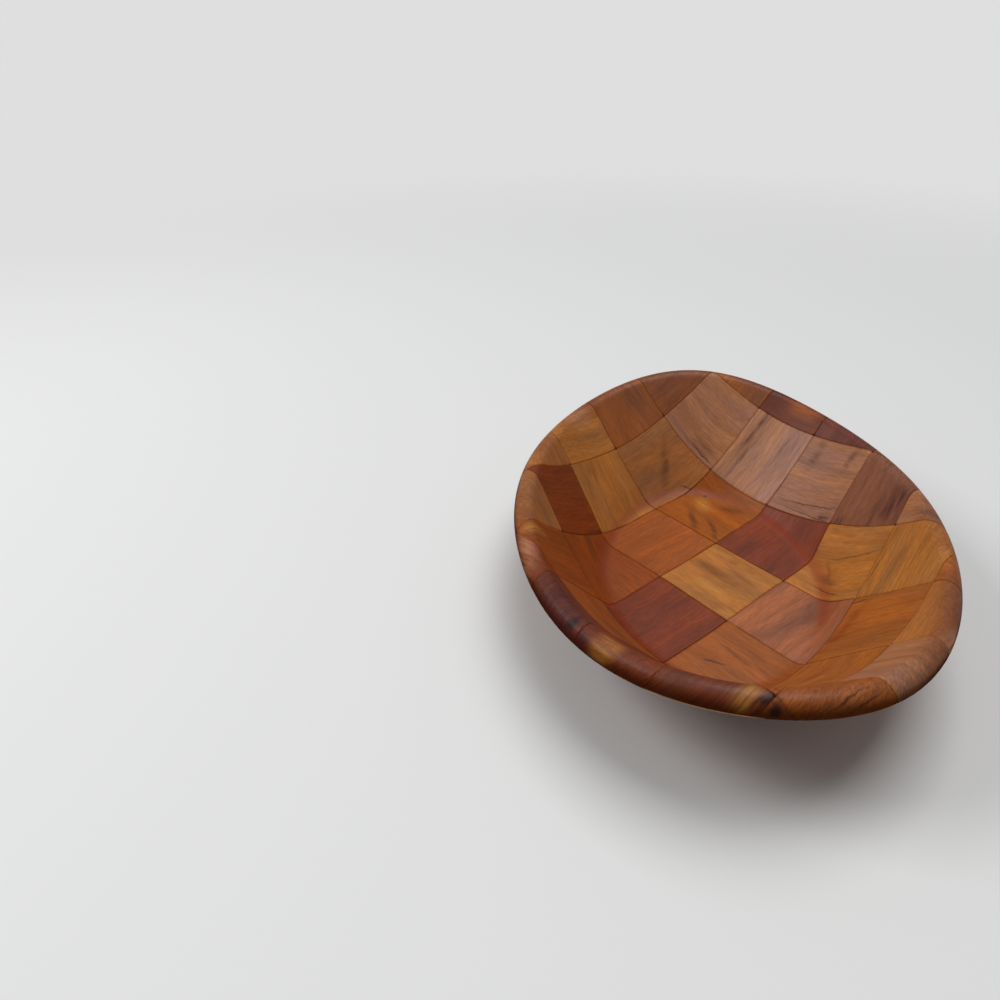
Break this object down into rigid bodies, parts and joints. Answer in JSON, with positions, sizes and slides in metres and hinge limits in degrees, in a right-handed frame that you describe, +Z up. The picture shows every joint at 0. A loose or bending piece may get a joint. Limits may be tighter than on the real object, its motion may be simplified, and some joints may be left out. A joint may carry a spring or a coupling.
{
  "type": "woven wood bowl",
  "caption": "Shallow oval bowl moulded from interlaced wood veneer strips, with a flat floor, flaring walls and an outward-rolled rim, for holding small game pieces.",
  "frame": {"origin": "middle of the underside, on the plane that the bowl stands on", "axes": "+X along the bowl's length, +Y across it, +Z up out of the bowl"},
  "size_m": [0.2348, 0.1712, 0.0496],
  "materials": {
    "golden_veneer": "satin lacquer",
    "orange_veneer": "satin lacquer",
    "light_orange_veneer": "satin lacquer",
    "tan_veneer": "satin lacquer",
    "russet_veneer": "satin lacquer",
    "dark_veneer": "satin lacquer",
    "mauve_veneer": "satin lacquer",
    "brown_veneer": "satin lacquer"
  },
  "bodies": {
    "root": {"warp_strip_1": "tan_veneer", "warp_strip_2": "brown_veneer", "warp_strip_3": "light_orange_veneer", "warp_strip_4": "golden_veneer", "warp_strip_5": "orange_veneer", "warp_strip_6": "tan_veneer", "warp_strip_7": "brown_veneer", "weft_strip_1": "brown_veneer", "weft_strip_2": "tan_veneer", "weft_strip_3": "russet_veneer", "weft_strip_4": "dark_veneer", "weft_strip_5": "mauve_veneer", "weft_strip_6": "orange_veneer", "weft_strip_7": "tan_veneer"}
  },
  "joints": []
}
